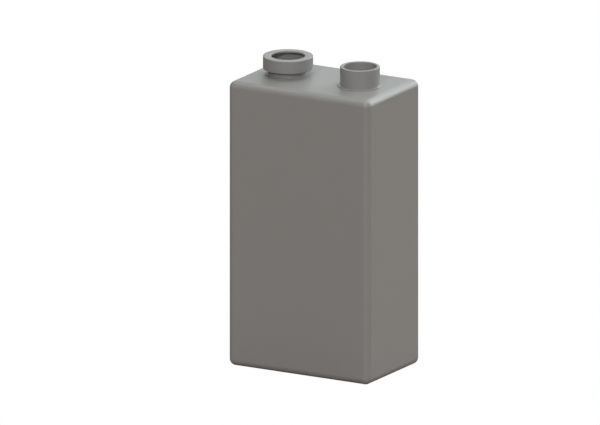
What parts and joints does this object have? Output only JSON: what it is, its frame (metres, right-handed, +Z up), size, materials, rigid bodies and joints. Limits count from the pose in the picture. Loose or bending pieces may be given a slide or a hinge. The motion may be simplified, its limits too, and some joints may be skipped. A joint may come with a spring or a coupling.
{
  "type": "prismatic battery cell",
  "caption": "Block-shaped dry battery with rounded edges and a snap stud and snap socket side by side on its top.",
  "frame": {"origin": "middle of the underside of the case", "axes": "+Z up through the terminals, +X towards the stud terminal, -Y out of the front broad face"},
  "size_m": [0.025, 0.016, 0.048],
  "materials": {
    "case_plastic": "satin moulded, warm grey",
    "terminal_metal": "satin plated, the case's grey",
    "rivet_metal": "satin plated",
    "strip_metal": "tinned strip",
    "fibre_board": "pressed brown fibre",
    "pad_card": "soft grey-brown board",
    "stack_film": "shrunk film",
    "cell_film": "shrunk film",
    "carbon_film": "conducting carbon film",
    "zinc": "rolled zinc sheet",
    "separator_paper": "pasted paper",
    "mix_cake": "pressed black powder"
  },
  "bodies": {
    "root": {"case_shell": "case_plastic", "base_cover": "case_plastic", "positive_stud": "terminal_metal", "negative_socket": "terminal_metal", "stud_rivet": "rivet_metal", "socket_rivet": "rivet_metal", "stud_washer": "strip_metal", "socket_washer": "strip_metal", "terminal_board": "fibre_board", "positive_strip": "strip_metal", "negative_strip": "strip_metal", "positive_plate": "strip_metal", "negative_plate": "strip_metal", "stack_sleeve": "stack_film", "bottom_pad": "pad_card", "top_card": "fibre_board", "cell_1_carbon_film": "carbon_film", "cell_1_zinc_plate": "zinc", "cell_1_separator_paper": "separator_paper", "cell_1_mix_cake": "mix_cake", "cell_1_cell_envelope": "cell_film", "cell_2_carbon_film": "carbon_film", "cell_2_zinc_plate": "zinc", "cell_2_separator_paper": "separator_paper", "cell_2_mix_cake": "mix_cake", "cell_2_cell_envelope": "cell_film", "cell_3_carbon_film": "carbon_film", "cell_3_zinc_plate": "zinc", "cell_3_separator_paper": "separator_paper", "cell_3_mix_cake": "mix_cake", "cell_3_cell_envelope": "cell_film", "cell_4_carbon_film": "carbon_film", "cell_4_zinc_plate": "zinc", "cell_4_separator_paper": "separator_paper", "cell_4_mix_cake": "mix_cake", "cell_4_cell_envelope": "cell_film", "cell_5_carbon_film": "carbon_film", "cell_5_zinc_plate": "zinc", "cell_5_separator_paper": "separator_paper", "cell_5_mix_cake": "mix_cake", "cell_5_cell_envelope": "cell_film", "cell_6_carbon_film": "carbon_film", "cell_6_zinc_plate": "zinc", "cell_6_separator_paper": "separator_paper", "cell_6_mix_cake": "mix_cake", "cell_6_cell_envelope": "cell_film"}
  },
  "joints": []
}
